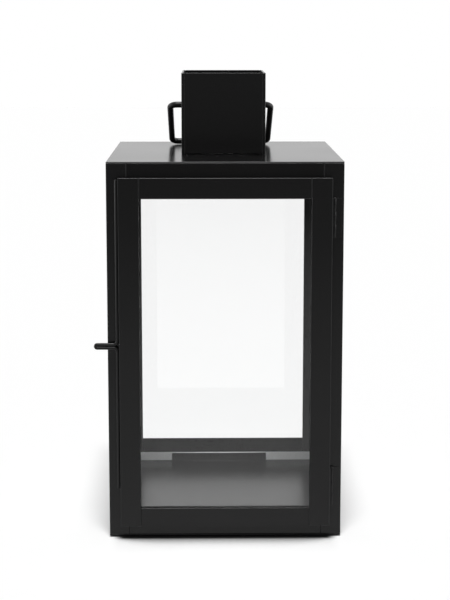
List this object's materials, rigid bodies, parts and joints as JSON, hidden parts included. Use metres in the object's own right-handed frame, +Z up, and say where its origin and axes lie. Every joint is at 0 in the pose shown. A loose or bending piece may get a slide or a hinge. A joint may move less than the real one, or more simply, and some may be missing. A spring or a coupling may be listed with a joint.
{
  "type": "candle lantern",
  "caption": "Square sheet-steel candle lantern with glass walls, a framed glass door on side hinges, a flat roof, an open square chimney and a folding wire bail handle.",
  "frame": {"origin": "on the ground, under the centre of the base plate", "axes": "+X right seen from the door side, +Y towards the rear wall, +Z up"},
  "size_m": [0.2115, 0.2065, 0.3982],
  "materials": {
    "black_steel": "satin powder coat",
    "black_wire": "satin powder coat on bent wire",
    "clear_glass": "clear float glass",
    "ferrite": "matt sintered",
    "rubber_foot": "matt moulded rubber",
    "grey_seal": "grey glazing strip"
  },
  "bodies": {
    "frame": {"front_left_post": "black_steel", "front_right_post": "black_steel", "rear_left_post": "black_steel", "rear_right_post": "black_steel", "base_plate": "black_steel", "base_tray": "black_steel", "front_bottom_rail": "black_steel", "rear_bottom_rail": "black_steel", "left_bottom_rail": "black_steel", "right_bottom_rail": "black_steel", "front_top_rail": "black_steel", "rear_top_rail": "black_steel", "left_top_rail": "black_steel", "right_top_rail": "black_steel", "roof_plate": "black_steel", "chimney_left_plate": "black_steel", "chimney_right_plate": "black_steel", "chimney_front_plate": "black_steel", "chimney_rear_plate": "black_steel", "rear_glass": "clear_glass", "rear_glass_seal": "grey_seal", "rear_glass_clip": "black_steel", "left_glass": "clear_glass", "left_glass_clip": "black_steel", "right_glass": "clear_glass", "right_glass_clip": "black_steel", "front_left_foot": "rubber_foot", "front_right_foot": "rubber_foot", "rear_left_foot": "rubber_foot", "rear_right_foot": "rubber_foot", "upper_hinge_frame_leaf": "black_steel", "lower_hinge_frame_leaf": "black_steel", "upper_hinge_pin": "black_steel", "lower_hinge_pin": "black_steel", "door_magnet": "ferrite"},
    "door": {"door_left_stile": "black_steel", "door_right_stile": "black_steel", "door_top_rail": "black_steel", "door_bottom_rail": "black_steel", "door_glass": "clear_glass", "door_glass_clips": "black_steel", "upper_hinge_door_leaf": "black_steel", "lower_hinge_door_leaf": "black_steel", "door_pull": "black_wire"},
    "bail": {"bail_handle": "black_wire"}
  },
  "joints": [
    {"name": "door_hinge", "type": "hinge", "parent": "frame", "child": "door", "pos_m": [0.0918, -0.1019, 0.16], "axis": [0, 0, 1], "range_deg": [0, 110]},
    {"name": "bail_swing", "type": "hinge", "parent": "frame", "child": "bail", "pos_m": [0, 0, 0.3685], "axis": [1, 0, 0], "range_deg": [0, 237]}
  ]
}
